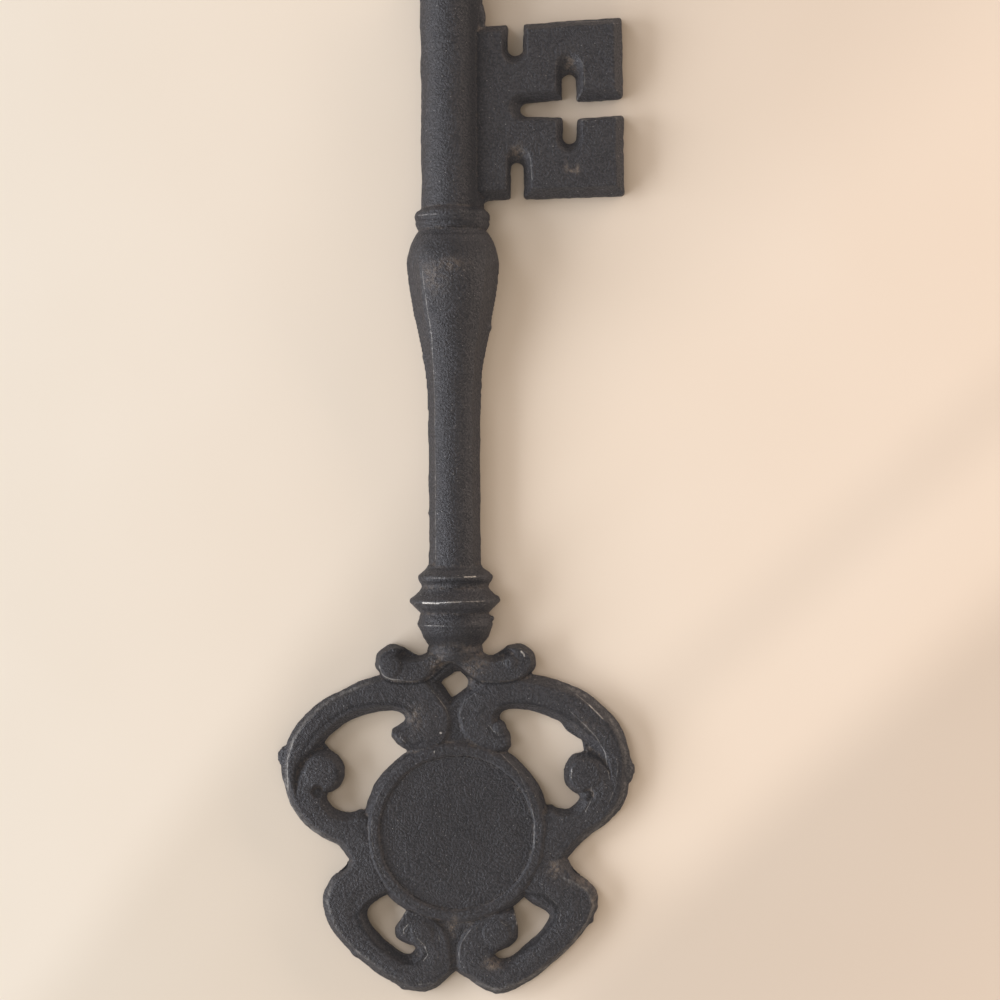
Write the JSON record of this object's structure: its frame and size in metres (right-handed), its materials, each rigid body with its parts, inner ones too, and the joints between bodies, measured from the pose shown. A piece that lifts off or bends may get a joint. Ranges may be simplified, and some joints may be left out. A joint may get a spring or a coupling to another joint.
{
  "type": "decorative skeleton key",
  "caption": "Large flat-backed decorative skeleton key in black cast iron: warded bit, half-round turned shank with collars, and a scrolled bow round a blank medallion.",
  "frame": {"origin": "centre of the key's outline, on its flat back", "axes": "+Y along the shank towards the bit end, +X towards the bit's free edge, +Z out of the decorated face"},
  "size_m": [0.1316, 0.3802, 0.0171],
  "materials": {
    "black_iron": "matte black paint over sand-cast iron, worn bright on the highest edges",
    "pin_steel": "plain turned steel"
  },
  "bodies": {
    "root": {"barrel": "black_iron", "bit": "black_iron", "shoulder_ring": "black_iron", "baluster": "black_iron", "upper_bead": "black_iron", "middle_bead": "black_iron", "lower_cup": "black_iron", "crest": "black_iron", "upper_left_scroll": "black_iron", "upper_right_scroll": "black_iron", "lower_left_scroll": "black_iron", "lower_right_scroll": "black_iron", "medallion_disc": "black_iron", "medallion_rim": "black_iron", "medallion_rivets": "pin_steel", "crest_rivets": "pin_steel", "bit_rivets": "pin_steel", "shank_pins": "pin_steel"}
  },
  "joints": []
}
